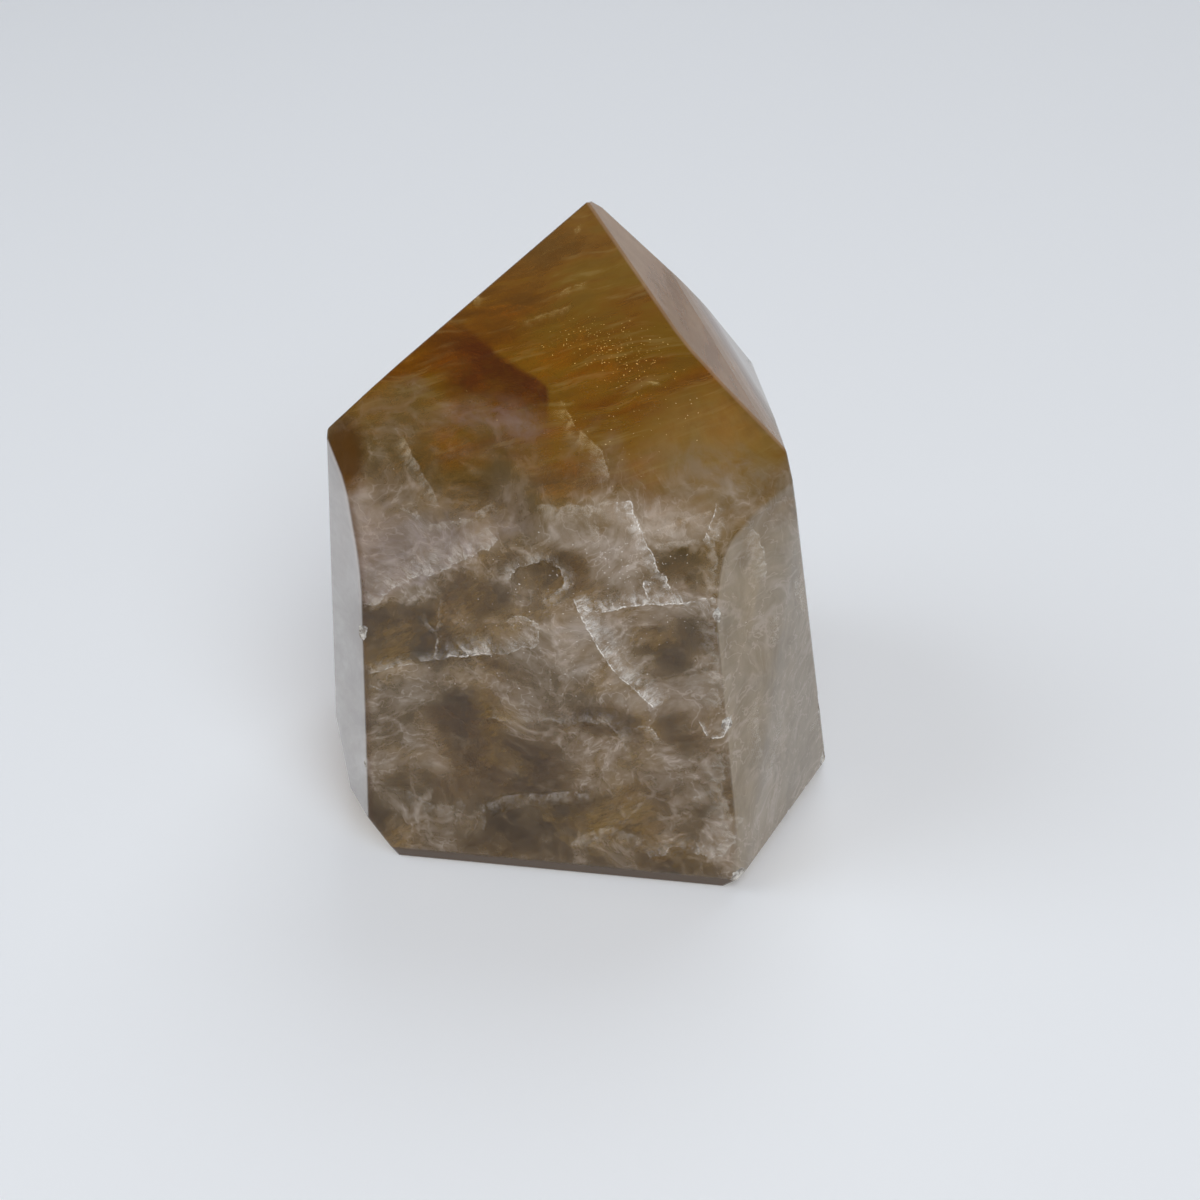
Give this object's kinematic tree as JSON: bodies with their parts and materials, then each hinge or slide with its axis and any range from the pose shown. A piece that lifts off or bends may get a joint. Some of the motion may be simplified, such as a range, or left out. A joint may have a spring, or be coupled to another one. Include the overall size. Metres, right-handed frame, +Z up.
{
  "type": "golden healer quartz tower",
  "caption": "Chunky hand-ground quartz tower with a steep faceted point, a flat foot, veils and golden staining inside.",
  "frame": {"origin": "middle of the bounding box, on the flat foot that the tower stands on", "axes": "+Z up along the tower towards its point; the broad front face looks towards -Y, turned 8 degrees towards -X"},
  "size_m": [0.058, 0.0551, 0.0671],
  "materials": {
    "smoky_quartz": "polished, see-through smoky to golden quartz with milky veils"
  },
  "bodies": {
    "root": {"crystal": "smoky_quartz"}
  },
  "joints": []
}
